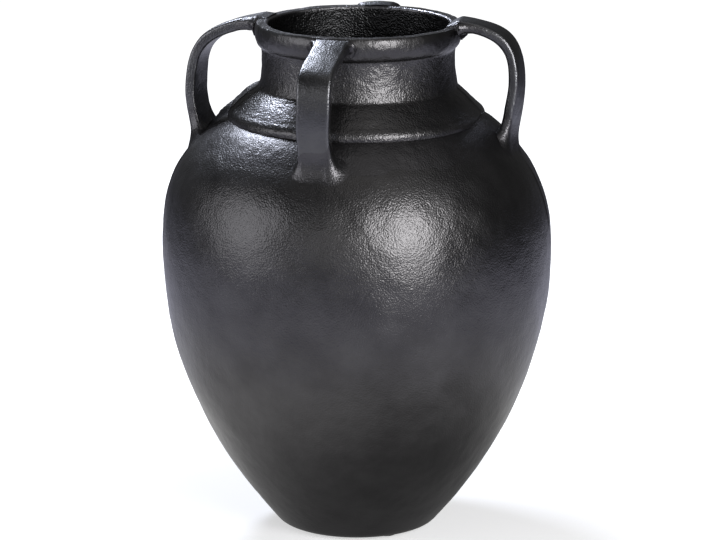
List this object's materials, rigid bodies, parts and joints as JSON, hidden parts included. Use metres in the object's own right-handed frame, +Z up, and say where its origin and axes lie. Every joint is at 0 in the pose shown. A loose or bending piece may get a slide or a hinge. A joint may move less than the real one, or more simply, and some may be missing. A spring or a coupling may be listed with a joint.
{
  "type": "four-handled vase",
  "caption": "Tall bellied metal vase with a stepped collar, short neck, rim band and flat strap handles from rim to shoulder.",
  "frame": {"origin": "middle of the ground under the vase, at the underside of its felt pads", "axes": "+Z up through the mouth, -Y towards the front handle, +X towards the right handle"},
  "size_m": [0.3032, 0.3032, 0.4048],
  "materials": {
    "casting": "sand-cast, blackened and waxed",
    "strap": "cast, filed smooth and blackened",
    "weld": "dressed weld, blackened",
    "felt": "pressed felt"
  },
  "bodies": {
    "root": {"body": "casting", "neck": "casting", "collar_weld": "weld", "handle_front": "strap", "rim_weld_front": "weld", "foot_weld_front": "weld", "handle_right": "strap", "rim_weld_right": "weld", "foot_weld_right": "weld", "handle_back": "strap", "rim_weld_back": "weld", "foot_weld_back": "weld", "handle_left": "strap", "rim_weld_left": "weld", "foot_weld_left": "weld", "base_pad_1": "felt", "base_pad_2": "felt", "base_pad_3": "felt", "base_pad_4": "felt"}
  },
  "joints": []
}
